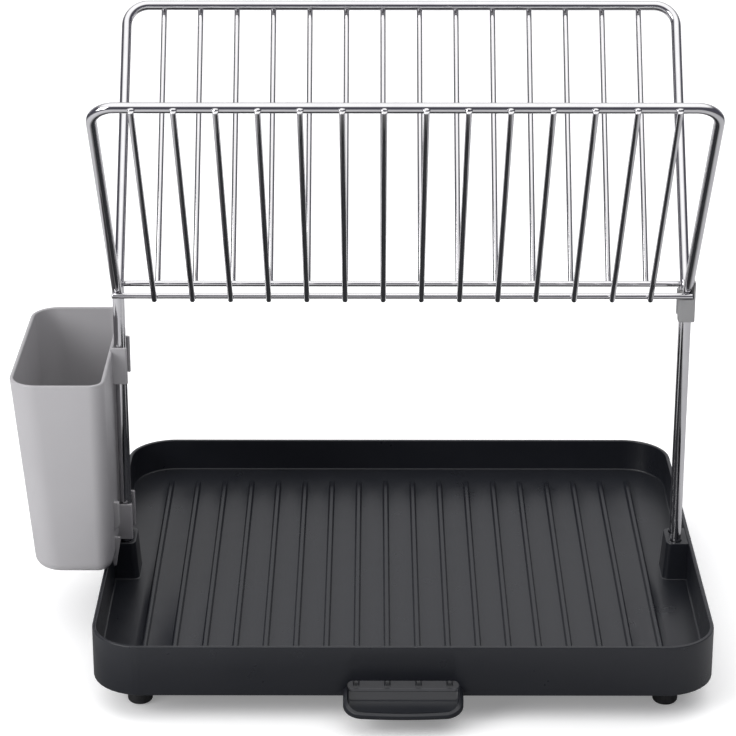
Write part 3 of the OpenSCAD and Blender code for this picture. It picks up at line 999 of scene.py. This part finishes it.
CAMERA_LENS = 129.28
CAMERA_AT = Vector((-0.0216, -1.8965, 0.9361))  # from the tray's centre
CAMERA_TILT = 68.83  # from straight down
CAMERA_TURN = 0.13


def white_floor():
    """A plain white floor that glows a little, like a lit sweep."""
    nodes = Nodes("white_floor")
    nodes.set(Base_Color=(*FLOOR_WHITE, 1), Roughness=0.6)
    nodes.set(Emission_Color=(1, 1, 1, 1), Emission_Strength=FLOOR_GLOW)
    return nodes.material


def grey_floor():
    """The floor as reflections see it: in the rack's own shade, then pale, then dark far away."""
    nodes = Nodes("grey_floor")
    away = nodes.tree.nodes.new("ShaderNodeVectorMath")
    away.operation = "LENGTH"
    nodes.tree.links.new(nodes.coords, away.inputs[0])
    share = nodes.between(away.outputs["Value"], 0, 1, 0, 2)
    stops = [(0.14, SHADE_GREY), (0.21, NEAR_GREY), (0.5, NEAR_GREY), (0.95, FAR_GREY)]
    nodes.feed("Base Color", nodes.ramp(share, stops))
    nodes.set(Roughness=1.0)
    return nodes.material


def level_sheet(name, z, material):
    """A square sheet that is part of the studio."""
    mesh = bpy.data.meshes.new(name)
    corners = [(-1, -1), (1, -1), (1, 1), (-1, 1)]
    mesh.from_pydata([(x * FLOOR_REACH, y * FLOOR_REACH, z) for x, y in corners], [], [(0, 1, 2, 3)])
    mesh.materials.append(material)
    sheet = bpy.data.objects.new(name, mesh)
    bpy.context.scene.collection.objects.link(sheet)
    return sheet


def build_stage():
    """The white floor, and the greyer one that is all that reflections see of it."""
    level_sheet("floor", 0, white_floor())
    mirrored = level_sheet("mirrored_floor", 0.0005, grey_floor())
    mirrored.visible_camera = False
    mirrored.visible_diffuse = False
    mirrored.visible_shadow = False


def build_world():
    """A studio that is bright overhead, grey low at the back, and dark at the sides and in front."""
    world = bpy.data.worlds.new("studio")
    world.use_nodes = True
    tree = world.node_tree
    coords = tree.nodes.new("ShaderNodeTexCoord")

    def turn(weights, start, end):
        """0 to 1 as the direction's weighted sum passes from start to end."""
        dot = tree.nodes.new("ShaderNodeVectorMath")
        dot.operation = "DOT_PRODUCT"
        dot.inputs[1].default_value = weights
        tree.links.new(coords.outputs["Generated"], dot.inputs[0])
        made = tree.nodes.new("ShaderNodeMapRange")
        made.interpolation_type = "SMOOTHSTEP"
        made.inputs["From Min"].default_value = start
        made.inputs["From Max"].default_value = end
        tree.links.new(dot.outputs["Value"], made.inputs["Value"])
        return made.outputs["Result"]

    def mix(share, first, second):
        """The first colour to the second as share goes from 0 to 1."""
        made = tree.nodes.new("ShaderNodeMix")
        made.data_type = "RGBA"
        tree.links.new(share, made.inputs["Factor"])
        for socket, value in ((made.inputs["A"], first), (made.inputs["B"], second)):
            if isinstance(value, tuple):
                socket.default_value = (*value, 1)
            else:
                tree.links.new(value, socket)
        return made.outputs["Result"]

    low = mix(turn((0, 1, 0), 0.35, 0.9), STUDIO_SIDES, STUDIO_BACK)
    colour = mix(turn((0, 0, 1), 0.48, 0.82), low, STUDIO_TOP)
    tree.links.new(colour, tree.nodes["Background"].inputs["Color"])
    bpy.context.scene.world = world


def build_lights():
    """One large soft key from the left and in front."""
    data = bpy.data.lights.new("key", "AREA")
    data.shape = "RECTANGLE"
    data.size, data.size_y = KEY_SIZE
    data.energy = KEY_WATTS
    key = bpy.data.objects.new("key", data)
    key.location = KEY_AT
    key.rotation_euler = (KEY_AIM - KEY_AT).to_track_quat("-Z", "Y").to_euler()
    bpy.context.scene.collection.objects.link(key)


def build_camera():
    """A long lens at the photograph's height and tilt."""
    data = bpy.data.cameras.new("camera")
    data.lens = CAMERA_LENS
    data.sensor_width = 36
    camera = bpy.data.objects.new("camera", data)
    camera.location = CENTRE + CAMERA_AT
    camera.rotation_euler = (radians(CAMERA_TILT), 0, radians(CAMERA_TURN))
    bpy.context.scene.collection.objects.link(camera)
    bpy.context.scene.camera = camera


build_camera()
build_tray()
build_feet()
build_spout()
build_frame()
build_clip()
build_holder()
build_stage()
build_world()
build_lights()
bpy.context.scene.view_settings.view_transform = "Standard"
